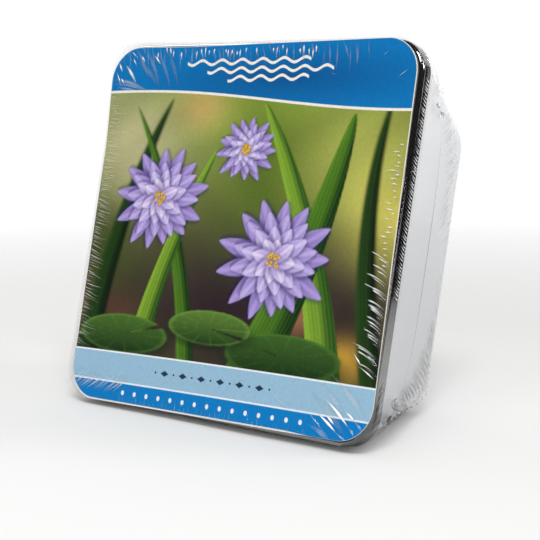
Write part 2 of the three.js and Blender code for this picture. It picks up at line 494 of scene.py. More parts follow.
class Painting:
    """Colours at points of the card's face, in millimetres from its middle."""

    def __init__(self, u, v):
        self.u, self.v = u, v
        self.colour = np.tile(rgb(92, 98, 54), (len(u), 1))

    def over(self, colour, share):
        share = np.clip(share, 0, 1)[:, None]
        self.colour = self.colour * (1 - share) + colour * share

    def glow(self, u, v, wide, high, colour, share=1.0):
        """A soft patch, out of focus."""
        self.over(colour, share * np.exp(-(((self.u - u) / wide) ** 2) - ((self.v - v) / high) ** 2))

    def blade(self, root, bend, tip, width, dark, light, soft=0.35):
        """A tapered leaf along a curve with three control points."""
        t = np.linspace(0, 1, 180)[:, None]
        root, bend, tip = (np.array(p, float) for p in (root, bend, tip))
        spine = (1 - t) ** 2 * root + 2 * t * (1 - t) * bend + t * t * tip
        near = (self.u > spine[:, 0].min() - width) & (self.u < spine[:, 0].max() + width)
        near &= (self.v > spine[:, 1].min() - width) & (self.v < spine[:, 1].max() + width)
        points = np.stack([self.u[near], self.v[near]], -1)
        gaps = np.linalg.norm(points[:, None] - spine[None], axis=2)
        nearest = gaps.argmin(1)
        way = t[nearest, 0]
        tangent = np.gradient(spine, axis=0)[nearest]
        tangent /= np.linalg.norm(tangent, axis=1)[:, None]
        offset = points - spine[nearest]
        across = tangent[:, 0] * offset[:, 1] - tangent[:, 1] * offset[:, 0]
        half = width / 2 * np.clip(1 - way, 0, 1) ** 0.55
        share = 1 - ramp(-soft, soft, gaps[np.arange(len(nearest)), nearest] - half)
        tone = np.clip(0.5 + 0.5 * across / np.maximum(half, 0.1), 0, 1)
        rib = np.exp(-((across / (0.09 * width + 0.2)) ** 2))
        tone = tone**1.4 + 0.12 * np.cos(across * 3.1) + 0.25 * rib
        colour = dark + (light - dark) * np.clip(tone, 0, 1)[:, None]
        whole, shade = np.zeros(len(self.u)), np.zeros((len(self.u), 3))
        whole[near], shade[near] = share, colour
        self.over(shade, whole)

    def pad(self, u, v, wide, high, notch, dark, light):
        """A round floating leaf seen at a slant, with veins and one notch."""
        x, y = (self.u - u) / wide, (self.v - v) / high
        reach, turn = np.hypot(x, y), np.arctan2(y, x)
        gap = np.abs((turn - notch + math.pi) % (2 * math.pi) - math.pi)
        share = (1 - ramp(0.97, 1.03, reach)) * ramp(0.05, 0.15, gap + 0.1 * (reach < 0.1))
        vein = np.exp(-((np.sin(turn * 6.5) / 0.12) ** 2)) * ramp(0.1, 0.4, reach)
        rim = ramp(0.86, 0.97, reach)
        tone = 0.35 + 0.35 * y + 0.25 * vein + 0.35 * rim
        self.over(rgb(28, 42, 28), 0.55 * (1 - ramp(0.9, 1.25, np.hypot(x, y + 0.25))))
        self.over(dark + (light - dark) * np.clip(tone, 0, 1)[:, None], share)

    def petal(self, u, v, angle, length, width, base, tip):
        cos, sin = math.cos(angle), math.sin(angle)
        along = ((self.u - u) * cos + (self.v - v) * sin) / length
        across = (-(self.u - u) * sin + (self.v - v) * cos) / (width / 2)
        outline = np.sin(np.pi * np.clip(along, 0, 1) ** 0.8) ** 0.7
        inside = (along > 0) & (along < 1)
        edge = 0.35 / width * 2
        share = inside * (1 - ramp(outline - edge, outline + edge, np.abs(across)))
        shadow = inside * (1 - ramp(outline, outline + 0.5, np.abs(across + 0.15)))
        self.over(rgb(38, 26, 74), 0.45 * shadow)
        streak = 0.10 * np.cos(across * 9) + 0.22 * np.exp(-((across / 0.16) ** 2))
        tone = np.clip(0.15 + 0.85 * along + streak - 0.3 * np.abs(across) ** 2, 0, 1)
        self.over(base + (tip - base) * tone[:, None], share)

    def flower(self, u, v, size, turn):
        """A star of pointed petals in four rings, drawn from the outermost in."""
        rings = (
            (13, 1.00, 0.30, rgb(70, 50, 140), rgb(172, 152, 214)),
            (12, 0.80, 0.28, rgb(92, 68, 166), rgb(190, 172, 226)),
            (10, 0.60, 0.26, rgb(112, 88, 184), rgb(208, 194, 236)),
            (8, 0.40, 0.22, rgb(140, 112, 200), rgb(226, 214, 242)),
        )
        for number, (count, reach, width, base, tip) in enumerate(rings):
            for k in range(count):
                angle = turn + number * 0.31 + 2 * math.pi * k / count + some(-0.07, 0.07)
                squash = 0.80 + 0.20 * abs(math.cos(angle))
                length = size * reach * squash * some(0.92, 1.06)
                self.petal(u, v, angle, length, size * width, base, tip)
        for _ in range(26):
            angle, reach = some(0, 2 * math.pi), size * 0.12 * math.sqrt(some(0, 1))
            x, y = u + reach * math.cos(angle), v + reach * math.sin(angle)
            dot = np.hypot(self.u - x, self.v - y)
            self.over(rgb(150, 110, 40), 1 - ramp(0.7, 1.2, dot))
            self.over(rgb(242, 206, 92), 1 - ramp(0.3, 0.9, dot))


def paint_card(u, v):
    art = Painting(u, v)
    # Out-of-focus bank and water.
    art.glow(0, 70, 120, 60, rgb(134, 156, 62))
    art.glow(6, -42, 130, 52, rgb(54, 40, 46))
    art.glow(56, -24, 44, 34, rgb(46, 34, 42), 0.92)
    art.glow(-72, 42, 34, 30, rgb(186, 182, 136))
    art.glow(18, 30, 24, 34, rgb(84, 108, 38), 0.9)
    art.glow(74, 30, 30, 32, rgb(184, 186, 92), 0.9)
    art.glow(94, 8, 20, 20, rgb(212, 200, 96), 0.8)
    art.glow(-84, -16, 22, 22, rgb(66, 80, 36), 0.9)
    art.glow(-74, -48, 20, 12, rgb(96, 62, 54), 0.8)
    art.glow(74, -58, 14, 9, rgb(206, 160, 60), 0.85)
    art.glow(46, -40, 12, 9, rgb(168, 116, 84), 0.7)
    art.glow(-30, 62, 16, 12, rgb(206, 168, 104), 0.7)
    cloud = np.sin(u / 11 + 2.0 * np.sin(v / 17)) * np.sin(v / 9 + 1.7 * np.sin(u / 23))
    art.colour *= (1 + 0.10 * cloud)[:, None]
    # Rushes behind the flowers.
    green = rgb(22, 52, 24), rgb(88, 134, 38)
    bright = rgb(38, 80, 28), rgb(138, 178, 56)
    deep = rgb(16, 32, 20), rgb(44, 74, 30)
    art.blade((-86, -70), (-78, 10), (-50, 66), 15, *deep, soft=1.6)
    art.blade((-18, -70), (-30, 0), (-74, 62), 11, *green, soft=0.9)
    art.blade((92, -70), (70, 10), (84, 66), 13, *deep, soft=1.4)
    art.blade((66, -72), (52, 0), (10, 64), 19, *bright)
    art.blade((20, -72), (52, -10), (64, 58), 26, *green)
    art.blade((-52, -72), (-46, -20), (-16, 40), 14, *bright)
    # Floating leaves.
    art.pad(-62, -58, 30, 10, 0.6, rgb(24, 52, 28), rgb(88, 126, 52))
    art.pad(40, -60, 34, 11, 2.5, rgb(20, 46, 26), rgb(74, 114, 46))
    art.pad(-6, -50, 26, 8.5, -0.5, rgb(28, 60, 30), rgb(108, 146, 62))
    # Flowers.
    art.flower(-50, 14, 31, 0.2)
    art.flower(28, -14, 34, 0.5)
    art.flower(2, 40, 19, 0.9)
    return art.colour


# ---- card

CARD_STRAIGHT = CARD_HALF - CARD_CORNER
CARD_COLUMNS, CARD_STRAIGHT_ROWS, CARD_CORNER_ROWS = 280, 125, 30


def card_rows():
    """Heights of the rows of a grid over the card, and each row's half width."""
    turn = np.radians(np.linspace(0, 90, CARD_CORNER_ROWS + 1))[1:]
    straight = np.linspace(0, CARD_STRAIGHT, CARD_STRAIGHT_ROWS + 1)
    heights = np.concatenate([straight, CARD_STRAIGHT + CARD_CORNER * np.sin(turn)])
    widths = np.concatenate([np.full_like(straight, CARD_HALF), CARD_STRAIGHT + CARD_CORNER * np.cos(turn)])
    return np.concatenate([-heights[:0:-1], heights]), np.concatenate([widths[:0:-1], widths])


def card_inset(u, v):
    """How far points of the card's face are in from its edge."""
    over_u, over_v = np.abs(u) - CARD_STRAIGHT, np.abs(v) - CARD_STRAIGHT
    corner = (over_u > 0) & (over_v > 0)
    return CARD_CORNER - np.where(corner, np.hypot(over_u, over_v), np.maximum(over_u, over_v))


def card_face(u, v):
    """Points and quads of the card's face, and the numbers of the points round its rim."""
    cos, sin = math.cos(CARD_TWIST), math.sin(CARD_TWIST)
    turned_u, turned_v = u * cos - v * sin, u * sin + v * cos
    front = -(GAP + CARD_THICK) - corner_lift(turned_u, turned_v)
    face = np.stack([turned_u, front, turned_v], -1).reshape(-1, 3)
    number = np.arange(len(face)).reshape(v.shape)
    corners = [number[:-1, :-1], number[:-1, 1:], number[1:, 1:], number[1:, :-1]]
    rim = np.concatenate([number[0, :-1], number[:-1, -1], number[-1, :0:-1], number[:0:-1, 0]])
    return face, np.stack(corners, -1).reshape(-1, 4).tolist(), rim


def card_back(face, rim):
    """The face's points with those of the cut edge and the back added, and the new faces."""
    loops = [rim]
    points = [face]
    for scale in (1, 0.93, 0.86, 0.78, 0.68):
        behind = face[rim] * [scale, 0, scale]
        behind[:, 1] = -GAP - corner_lift(behind[:, 0], behind[:, 2])
        loops.append(len(face) + (len(loops) - 1) * len(rim) + np.arange(len(rim)))
        points.append(behind)
    points = np.vstack([*points, [[0, -GAP, 0]]])
    board = []
    for outer, inner in zip(loops[:-1], loops[1:]):
        board += np.stack([outer, inner, np.roll(inner, -1), np.roll(outer, -1)], -1).tolist()
    last = loops[-1]
    board += np.stack([last, np.full(len(rim), len(points) - 1), np.roll(last, -1)], -1).tolist()
    return points, board


def make_card():
    heights, widths = card_rows()
    u = widths[:, None] * np.linspace(-1, 1, CARD_COLUMNS)[None]
    v = np.repeat(heights[:, None], CARD_COLUMNS, 1)
    face, quads, rim = card_face(u, v)
    points, board = card_back(face, rim)
    materials = [print_material(), board_material()]
    which = np.repeat([0, 1], [len(quads), len(board)]).astype(np.int32)
    card = add_mesh("printed_card", to_row(points), quads + board, materials, which, sharp=40)
    colours = np.ones((len(points), 4), np.float32)
    colours[: len(face), :3] = paint_card(u.ravel(), v.ravel())
    spare = np.full(len(points) - len(face), CARD_HALF)
    add_attribute(card, "card_u", np.append(u.ravel(), spare))
    add_attribute(card, "card_v", np.append(v.ravel(), spare))
    add_attribute(card, "inset", np.append(card_inset(u, v).ravel(), 0 * spare))
    art = card.data.color_attributes.new("art", "FLOAT_COLOR", "POINT")
    art.data.foreach_set("color", colours.ravel())
    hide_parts("label_card")


make_card()

# ---- film

film = film_material()
film_columns = ring_columns(30, 130)
FRONT_EDGE = 0.6
VENT = 4
TOP, LEFT, BOTTOM, RIGHT = range(4)


def film_rows():
    """The film's rows from the middle of the front round the edge, back along the sides to the vent."""
    inset = np.concatenate([[94.9, 80, 65, 50, 42, 36], np.arange(31, 1.9, -1.2), [1.5, 1.1, 0.8]])
    scale = LID_MIDDLE / FILM_HALF
    front = [(FILM_HALF - i, (FILM_HALF - i) * scale, FILM_FRONT) for i in inset]
    edge = arc(FILM_HALF - FRONT_EDGE, FILM_FRONT + FRONT_EDGE, FRONT_EDGE, -90, 0, 4, LID_MIDDLE)
    skirt = [(FILM_HALF, LID_MIDDLE, d) for d in (0.4, 1.4, 2.4, 3.4, 4.4, 5.4, 6.4, 7.4, 8.1)]
    across, back = FILM_HALF - EDGE_HALF, EDGE_DEPTH - SKIRT - GAP
    slope = math.acos(FILM_EDGE_RADIUS / math.hypot(across, back)) - math.atan2(back, across)
    base = arc(EDGE_HALF, EDGE_DEPTH, FILM_EDGE_RADIUS, math.degrees(slope), 90, 6, BASE_MIDDLE)
    start = np.array([FILM_HALF, LID_MIDDLE, SKIRT + GAP])
    wall = [tuple(start + (np.array(base[0]) - start) * s) for s in np.linspace(0, 1, 48)[:-1]]
    flat = [
        (half, BASE_MIDDLE * (half - VENT) / (EDGE_HALF - VENT), EDGE_DEPTH + FILM_EDGE_RADIUS)
        for half in (70, 64, 56, 46, 34, 20, 10, VENT)
    ]
    return front, edge, skirt + wall + base + flat, base[0]


front_rows, edge_rows, side_rows, WALL_END = film_rows()
WALL_DEPTHS = SKIRT + GAP, WALL_END[2]


def on_face(u, v, out):
    """Points of the film over the card, out proud of it."""
    reach = np.maximum(np.abs(u), np.abs(v))
    hem = np.clip((reach - 70) / 20, 0, 1) * np.clip(FILM_HALF - reach, 0, 4) / 4
    swell = 0.10 * hem * (np.sin(u / 3.1) + np.sin(v / 3.7))
    return np.stack([u, FILM_FRONT - corner_lift(u, v) - np.maximum(swell, -0.12) - out, v], -1)


def gather_swell(x, depth):
    """The bulge of bunched film near the ends of a side, at the ends of its seam."""
    gap_x, gap_d = np.abs(x) - 74, depth - 30
    bulge = np.exp(-((gap_x / 9) ** 2) - (gap_d / 13) ** 2)
    crumple = np.sin(gap_x * 0.9 + 1.3 * np.sin(depth * 0.5)) * np.sin(depth * 0.75 + np.sin(x * 0.6))
    return bulge * (0.35 + 0.4 * crumple)


PLEATS, CORNER_BULGE, SWELL_UNDERNEATH = 0.14, 1.8, 0.3


def side_swell(side, x, depth):
    """How far the film of a side stands off its taut line."""
    middle = np.interp(depth, WALL_DEPTHS, (LID_MIDDLE, BASE_MIDDLE))
    radius = np.interp(depth, WALL_DEPTHS, (FILM_HALF - LID_MIDDLE, WALL_END[0] - BASE_MIDDLE))
    run = 2 * middle + radius * math.pi / 2
    swell = gather_swell(x, depth) + gather_swell(x - run, depth) + gather_swell(x + run, depth)
    pleat = np.clip((depth - 50) / 20, 0, 1) * np.clip((80 - depth) / 3, 0, 1)
    swell += PLEATS * pleat * np.sin((np.abs(x) - 0.6 * depth) / 0.8)
    swell += CORNER_BULGE * np.exp(-(((np.abs(x) - 66) / 7) ** 2) - ((depth - 75) / 9) ** 2)
    return swell * (SWELL_UNDERNEATH if side == BOTTOM else 1.0)


def on_side(side, x, depth, out):
    """Points of the film's side, x along from the middle of the side and out proud of the film."""
    half = np.interp(depth, WALL_DEPTHS, (FILM_HALF, WALL_END[0]))
    middle = np.interp(depth, WALL_DEPTHS, (LID_MIDDLE, BASE_MIDDLE))
    turn = np.sign(x) * np.clip(np.abs(x) - middle, 0, None) / (half - middle)
    reach = half - middle + out + side_swell(side, x, depth)
    along = np.clip(x, -middle, middle) + reach * np.sin(turn)
    outward = middle + reach * np.cos(turn)
    quarter = (side + 1) * math.pi / 2
    u = outward * math.cos(quarter) - along * math.sin(quarter)
    v = outward * math.sin(quarter) + along * math.cos(quarter)
    return np.stack([u, depth, v], -1)


def curve(*controls, steps=11):
    """Points along a Bezier curve."""
    t = np.linspace(0, 1, steps)[:, None]
    points = [np.array(control, float) for control in controls]
    while len(points) > 1:
        points = [(1 - t) * a + t * b for a, b in zip(points, points[1:])]
    return points[0]


def drawn(value):
    """The value itself, or one drawn from a range (low, high)."""
    return some(*value) if isinstance(value, tuple) else value


class Folds:
    """Sharp folds that stand on the film: lens-shaped strips raised along their middle.

    Strips carry painted light, each from 0 to 1: a painted glint, white laid on the strip, and painted
    shade, darkening what lies beneath. A glint amount above 1 stays white for more of its length.
    """

    OFF_FILM = 0.04
    ACROSS = np.array([-1, -0.45, 0, 0.45, 1])
    # Across a strip, how much of its painted glint and of its painted shade each of its five lines gets.
    WHITE = np.array([0.1, 0.9, 1, 0.8, 0])
    DARK = np.array([0, 1, 0.7, 0.1, 0])

    def __init__(self, place):
        self.place = place
        self.points, self.faces, self.crease, self.painted_shade = [], [], [], []

    def add(self, path, width, rise, crease=0.0, painted_shade=0.0, head=0.5):
        """head is where along the path, from 0 to 1, the strip is widest and its painted glint whitest."""
        t = np.linspace(0, 1, len(path))
        taper = np.clip(np.minimum(t / head, (1 - t) / (1 - head)), 0, 1) ** 0.7
        tangent = np.gradient(path, axis=0)
        tangent /= np.linalg.norm(tangent, axis=1)[:, None]
        sideways = np.stack([-tangent[:, 1], tangent[:, 0]], -1)
        half = width / 2 * np.maximum(taper, 0.05)
        flat = path[:, None] + self.ACROSS[None, :, None] * half[:, None, None] * sideways[:, None]
        out = self.OFF_FILM + rise * taper[:, None] * (1 - self.ACROSS**2)
        number = sum(len(p) for p in self.points) + np.arange(out.size).reshape(out.shape)
        self.points.append(self.place(flat[..., 0], flat[..., 1], out).reshape(-1, 3))
        quads = np.stack([number[:-1, :-1], number[1:, :-1], number[1:, 1:], number[:-1, 1:]], -1)
        self.faces += quads.reshape(-1, 4).tolist()
        # Painted shade on one flank of the strip. The painted glint is held back where that shade falls.
        shade = painted_shade * taper[:, None] * self.DARK
        self.crease.append((crease * taper[:, None] * self.WHITE * (1 - shade)).ravel())
        self.painted_shade.append(shade.ravel())

    def line(self, start, end, width, rise, crease=0.0, painted_shade=0.0, bow=0.0, head=0.5):
        """A folded strip from start to end. bow bends it sideways, as a share of its length.

        width, bow, head and the amounts of painted glint and painted shade may each be a range to draw
        from.
        """
        width, crease, painted_shade, bow, head = (drawn(value) for value in (width, crease, painted_shade, bow, head))
        dx, dy = end[0] - start[0], end[1] - start[1]
        bend = ((start[0] + end[0]) / 2 - 2 * bow * dy, (start[1] + end[1]) / 2 + 2 * bow * dx)
        self.add(curve(start, bend, end), width, rise, crease, painted_shade, head)


# Where folds of the face run out, at the film's front edge.
HEM, LIP = 94.6, 94.8

# Folds set one by one: from u, v to u, v, then the width and the amount of painted glint. First come the
# lenses of the lifted corner at the top left and the fainter white haze between them, a painted sheen.
TOP_LEFT_FOLDS = (
    (-87.0, 83.4, -77.8, 72.2, 2.3, 1.0),
    (-91.6, 84.4, -88.2, 78.7, 1.7, 1.0),
    (-88.8, 76.0, -86.2, 72.4, 1.5, 1.0),
    (-76.8, 88.2, -73.4, 84.0, 1.4, 1.0),
    (-68.2, 88.4, -63.0, 83.0, 1.5, 1.0),
    (-82.2, 86.8, -79.2, 82.4, 1.2, 0.95),
    (-81.0, 92.4, -70.5, 75.8, 2.6, 0.30),
    (-74.8, 92.8, -61.8, 69.8, 3.2, 0.26),
    (-68.2, 92.8, -53.8, 68.2, 3.0, 0.24),
    (-61.2, 92.4, -48.8, 69.6, 3.4, 0.18),
    (-94.8, 75.0, -70.0, 69.6, 2.6, 0.42),
    (-94.8, 72.6, -64.0, 67.6, 2.2, 0.36),
    (-92.0, 70.6, -73.0, 67.8, 1.4, 0.45),
    (-80.0, 86.0, -62.0, 71.0, 4.5, 0.20),
    (-93.0, 80.0, -88.0, 70.0, 0.8, 0.8),
    (-84.0, 90.4, -79.0, 86.6, 1.0, 0.8),
)

# Long folds at the lower right corner, then fine folds with painted glints over the head band.
RIGHT_FOLDS = (
    (68.3, -74.0, 84.4, -85.9, 1.8, 1.7),
    (65.3, -81.2, 78.2, -89.2, 1.6, 1.7),
    (70.2, -81.2, 76.4, -85.7, 1.5, 1.7),
    (81.0, -78.7, 87.2, -82.6, 1.5, 1.7),
    (70.0, -62.4, 93.4, -81.2, 3.4, 0.40),
    (63.6, -67.4, 81.4, -80.2, 3.2, 0.34),
    (59.8, -71.6, 83.0, -89.4, 5.0, 0.26),
    (62.6, -87.2, 75.6, -93.0, 3.6, 0.34),
    (39.6, -77.4, 51.0, -82.8, 0.8, 0.5),
    (80.0, -51.4, 86.4, -58.0, 1.0, 0.9),
    (84.0, -57.4, 94.4, -63.0, 1.0, 1.0),
    (57.6, -79.6, 70.6, -89.4, 0.8, 0.45),
    (77.4, -88.8, 83.6, -92.2, 1.2, 0.6),
    (84.0, -85.4, 88.0, -89.3, 1.1, 0.6),
    (86.5, -82.2, 91.6, -86.4, 1.1, 0.5),
    (82.3, 75.2, 88.8, 80.2, 0.35, 0.7),
    (73.4, 86.2, 76.1, 88.9, 0.35, 0.5),
    (44.0, 78.6, 49.5, 77.4, 0.30, 0.4),
)


def set_folds(f, table, bow, head):
    for start_u, start_v, end_u, end_v, width, crease in table:
        f.line((start_u, start_v), (end_u, end_v), width, 0.3, crease, bow=bow, head=head)


def top_folds(f):
    """Dashes square to the top edge, in groups, with fainter long ones between."""
    for p in np.arange(-66, 36, 2.6):
        if some(0, 1) < 0.35 + 0.55 * math.sin(p / 7.5) ** 2:
            at, top = p + some(-0.8, 0.8), 93.2 - some(0, 3.5)
            end = (at + some(-0.4, 1.0), top - some(2.5, 6.5))
            f.line((at, top), end, (0.9, 1.4), 0.25, (0.9, 1.0), head=0.3)
    for p in np.arange(-92, 64, 3.6):
        at = p + some(-1.5, 1.5)
        end = (at + some(1, 5), HEM - some(7, 18))
        f.line((at, HEM), end, (0.8, 1.8), 0.1, (0.14, 0.34), bow=0.04)


def left_folds(f):
    """A comb of fine lines in from the left edge, fainter and leaning less further up."""
    for p in np.arange(-66, 68, 1.15):
        at, length, tilt = p + some(-0.4, 0.4), some(5, 17), some(-0.16, 0.08)
        if p < 14:
            tilt -= 0.22
        strength = (0.4 + 0.4 * some(0, 1)) * (1 if p < 22 else 0.75)
        end = (length - LIP, at + tilt * length)
        f.line((-LIP, at), end, (0.35, 0.6), 0.12, strength, bow=(-0.04, 0.04), head=0.35)


def right_folds(f):
    """Short dashes in from the right edge and, lower down, slanted folds with a painted glint brightest at
    the inner end.
    """
    for p in np.arange(-12, 47, 2.7):
        at, near = p + some(-0.7, 0.7), 93.6 - some(0.4, 2.6)
        end = (near - some(2.6, 6.8), at + some(-0.2, 0.9))
        f.line((near, at), end, (0.6, 1.0), 0.2, (0.75, 1.0), head=0.6)
    for p in np.arange(-56, -6, 2.1):
        at, length = p + some(-0.8, 0.8), some(6, 15)
        start, end = (HEM - length, at + some(0, 2)), (HEM, at - 0.40 * length)
        f.line(start, end, (0.6, 1.15), 0.35, (0.7, 1.0), bow=0.06, head=(0.12, 0.3))
        start, end = (94.0 - 0.6 * length, at - 1.2), (LIP, at - 1.6 - 0.3 * length)
        f.line(start, end, 0.4, 0.2, (0.2, 0.6), bow=0.04, head=0.4)


def bottom_folds(f):
    """Slanted folds at the lower left corner, then short ones up from the bottom edge."""
    for p in np.arange(-93, -58, 1.7):
        start, end = (p - 3, -91 + some(-1, 1)), (p + 9, -80 + some(-3, 3))
        f.line(start, end, (0.6, 1.6), 0.10, (0.25, 0.55))
    for p in np.arange(-56, 62, 2.9):
        end = (p + some(-1, 1), -94.4 + some(3, 8))
        f.line((p, -HEM), end, (0.4, 0.9), 0.08, (0.14, 0.4), head=0.3)


def face_folds():
    """Folds of the film over the card, marked with painted glints: short ones along the edges, long ones at
    the corners.
    """
    f = Folds(on_face)
    top_folds(f)
    set_folds(f, TOP_LEFT_FOLDS, 0.05, 0.45)
    left_folds(f)
    right_folds(f)
    set_folds(f, RIGHT_FOLDS, 0.03, 0.6)
    f.add(curve((81.6, 31.0), (87.5, 35.0), (LIP, 30.4)), 0.7, 0.35, 0.8)
    bottom_folds(f)
    return f


def make_front_film():
    rows = front_rows + edge_rows
    flat = loft_points(film_columns, rows)
    points = on_face(flat[..., 0], flat[..., 2], FILM_FRONT - flat[..., 1])
    row_count, column_count = points.shape[:2]
    centre = on_face(np.zeros(1), np.zeros(1), 0)
    sheet = np.vstack([points.reshape(-1, 3), centre])
    faces = loft_faces(row_count, column_count) + cap_faces(column_count, 0, len(sheet) - 1, True)
    add_film("film_front", sheet, faces, [face_folds()])


def add_film(name, sheet, faces, folds):
    """A film piece: the sheet with its sharp folds. Points are (u, d, v). It lies flat on the floor."""
    parts, crease, painted_shade, count = [sheet], [np.zeros(len(sheet))], [np.zeros(len(sheet))], len(sheet)
    for group in folds:
        faces = faces + (np.array(group.faces) + count).tolist()
        parts += group.points
        crease += group.crease
        painted_shade += group.painted_shade
        count += sum(len(p) for p in group.points)
    points = to_row(np.vstack(parts))
    points[:, 2] = np.maximum(points[:, 2], 0)
    thing = add_mesh(name, points, faces, [film])
    add_attribute(thing, "crease", np.concatenate(crease))
    add_attribute(thing, "painted_shade", np.concatenate(painted_shade))
    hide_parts("shrink_film")


SEAM_DEPTH, SEAM_BEND = 42.6, 10
STREAK_END = 6.9
FAN_END = 79.4


def seam_depth(x):
    """The seam runs straight and bends forward near its ends."""
    return SEAM_DEPTH - SEAM_BEND * np.clip(np.abs(x) / 66, 0, 1.12) ** 4


def skirt_streaks(f, side):
    """Fine slanted streaks of painted glint over the lid's skirt, longer round the corner at one end."""
    low, gap, corner_gap = (-26, 1.6, 1.5) if side == RIGHT else (-78, 3.4, 2.5)
    for p in np.arange(low, 76, gap):
        at, start = p + some(-0.2, 0.2), some(1.2, 2.6)
        drop = some(0.42, 0.60) * (STREAK_END - start)
        f.line((at + drop, start), (at, STREAK_END), (0.7, 0.9), 0.2, (0.75, 1.0), bow=0.05, head=0.6)
    for p in np.arange(68, 90, corner_gap):
        at, start = p + some(-0.6, 0.6), some(0.4, 2.6)
        start, end = (at + some(6, 10), start), (at, some(5.6, STREAK_END))
        f.line(start, end, (0.35, 0.6), 0.10, (0.25, 0.6), bow=-0.05)
    f.add(curve((30, 1.2), (76, 1.0), (104, 1.2), steps=30), 0.4, 0.06, 0.5)


def seam_and_fans(f, side):
    """The welded seam, and the folds that fan out from its ends towards the corners of the base."""
    x = np.linspace(-70, 70, 90)
    f.add(np.stack([x, seam_depth(x)], -1), 0.6, 0.28, 0.05, 0.75)
    f.add(np.stack([x, seam_depth(x) + 0.55], -1), 0.4, 0.10, 0.45)
    if side == RIGHT:
        strong_fan(f)
    else:
        soft_fan(f, -1)
    soft_fan(f, 1)


def strong_fan(f):
    """Deep folds from the lower end of the seam to the corner of the base, with painted shade on one flank
    and a painted glint on the other.
    """
    count = 14
    starts = curve((-65, 33), (-59, 52), (-28, 69), steps=count)
    ends = curve((-73, 48), (-69, 84), (-38, 80), steps=count)
    for start, end, strength in zip(starts, ends, np.linspace(1.0, 0.6, count)):
        start = start + (some(-0.4, 0.4), some(-3.0, 1.0))
        end = np.minimum(end + (some(-0.4, 0.4), some(-2.0, 2.0)), (0, FAN_END))
        dark, width, white = strength * some(0.8, 1.0), some(2.7, 3.8), strength * some(0.7, 1.0)
        f.line(start, end, width, 0.6, white, dark, bow=-0.03, head=(0.45, 0.75))
    for p in np.arange(4, 44, 2.1):
        depth = 68 + some(-3, 4)
        end = (-p - (0.35 + 0.012 * p) * (FAN_END - depth), FAN_END)
        f.line((-p, depth), end, (0.8, 1.3), 0.3, (0.1, 0.4), (0.1, 0.3), head=0.75)
    for p in np.arange(50, 74, 3.4):
        depth = 70 + some(-3, 2)
        f.line((-p, depth), (-p - 3.2, FAN_END), (1.2, 1.8), 0.5, (0.6, 1.0), (0.6, 1.0), head=0.75)


def soft_fan(f, sign):
    """Long shallow folds from an end of the seam to the corner of the base, marked with painted glint and
    painted shade.
    """
    for p in np.arange(0, 1.5, 0.05):
        depth = min(35 + 25 * p, 58) + some(-1.5, 3.0)
        start = (sign * (66 - 36 * p + some(-0.8, 0.8)), depth)
        length = min(13 + 7 * math.sin(math.pi * min(p, 1)) + some(-3, 3), FAN_END - depth)
        end = (start[0] + sign * (0.62 + 0.16 * p) * length, depth + length)
        f.line(start, end, (1.0, 1.8), 0.25, (0.15, 0.6), (0.14, 0.40), bow=0.04 * sign, head=0.6)
    for p in np.arange(2, 20, 2.1):
        depth = 68 + some(-3, 5)
        end = (sign * (p + 0.5 * (FAN_END - depth)), FAN_END)
        f.line((sign * p, depth), end, (0.6, 1.0), 0.3, (0.05, 0.4), (0.1, 0.25), head=0.75)


def crinkles(f, x, depth, spread, count, dark, rise, wide):
    """A tight cluster of short folds that run every way. dark sets how much painted shade they carry, and
    their painted glint is drawn at random.
    """
    for _ in range(count):
        turn, far = some(0, 2 * math.pi), spread * math.sqrt(some(0, 1))
        start = (x + far * 0.4 * math.cos(turn), depth + far * math.sin(turn))
        heading, length = some(0, 2 * math.pi), some(1.6, 4.2)
        end = (start[0] + 0.55 * length * math.cos(heading), start[1] + 1.5 * length * math.sin(heading))
        width = wide * (0.5 + 0.9 * abs(math.cos(heading)))
        shade = dark * some(0.4, 1.0)
        f.line(start, end, width, rise * some(0.5, 1.2), (0.0, 1.0), shade, bow=(-0.2, 0.2))


# Loops of the swirl: share of its size, where each starts, how far it turns, its painted glint and its
# painted shade.
SWIRL = (
    (1.04, 0.5, 5.3, 0.7, 1.0),
    (0.84, 2.6, 3.9, 0.8, 0.9),
    (0.62, 5.4, 3.4, 0.5, 1.0),
    (0.36, 2.9, 3.0, 0.9, 0.8),
)

# Clusters of crinkles in the crumpled ear: x, depth and count.
EAR = ((-81, 14, 22), (-80, 21, 24), (-80, 29, 20), (-77, 39, 16), (-75, 49, 14))

# Clusters at the other ends of the seams: x, depth, spread, count, painted shade, rise and width.
SEAM_END = (
    (68.8, 23.4, 2.2, 13, 1.0, 0.35, 1.6),
    (67.4, 32.8, 2.0, 12, 1.0, 0.35, 1.6),
    (78, 30, 5.0, 12, 0.4, 0.3, 1.0),
)


def swirl(f):
    """The film twisted up at the lower end of the right side's seam."""
    for share, turn, sweep, white, dark in SWIRL:
        angle = np.linspace(turn, turn + sweep, 30)
        wobble = share * (1 + 0.12 * np.sin(2.3 * angle + 9 * share))
        path = np.stack([-72.3 + 3.1 * wobble * np.cos(angle), 31.5 + 11.3 * wobble * np.sin(angle)], -1)
        f.add(path, 1.1 + 2.3 * np.sin(angle) ** 2, 0.6, white, dark)


def crumpled_ear(f):
    """The ear below the swirl, with a hole in it drawn as painted shade, and a hatch of folds with painted
    shade over the skirt.
    """
    for start, end, width in (((-78.9, 12.6), (-77.5, 22.4), 3.0), ((-78.4, 13.6), (-77.3, 21.4), 2.2)):
        f.line(start, end, width, 1.3, 0.0, 1.0, bow=0.1)
    for x, depth, count in EAR:
        crinkles(f, x, depth, 5, count, 1.0, 0.7, 1.9)
    for p in np.arange(63, 82, 1.6):
        start, end = (-p + some(-0.4, 0.4), 7.3), (-p - some(5.0, 8.5), some(1.8, 3.4))
        f.line(start, end, (1.0, 1.7), 0.15, (0.3, 0.9), (0.7, 1.0), bow=0.05)


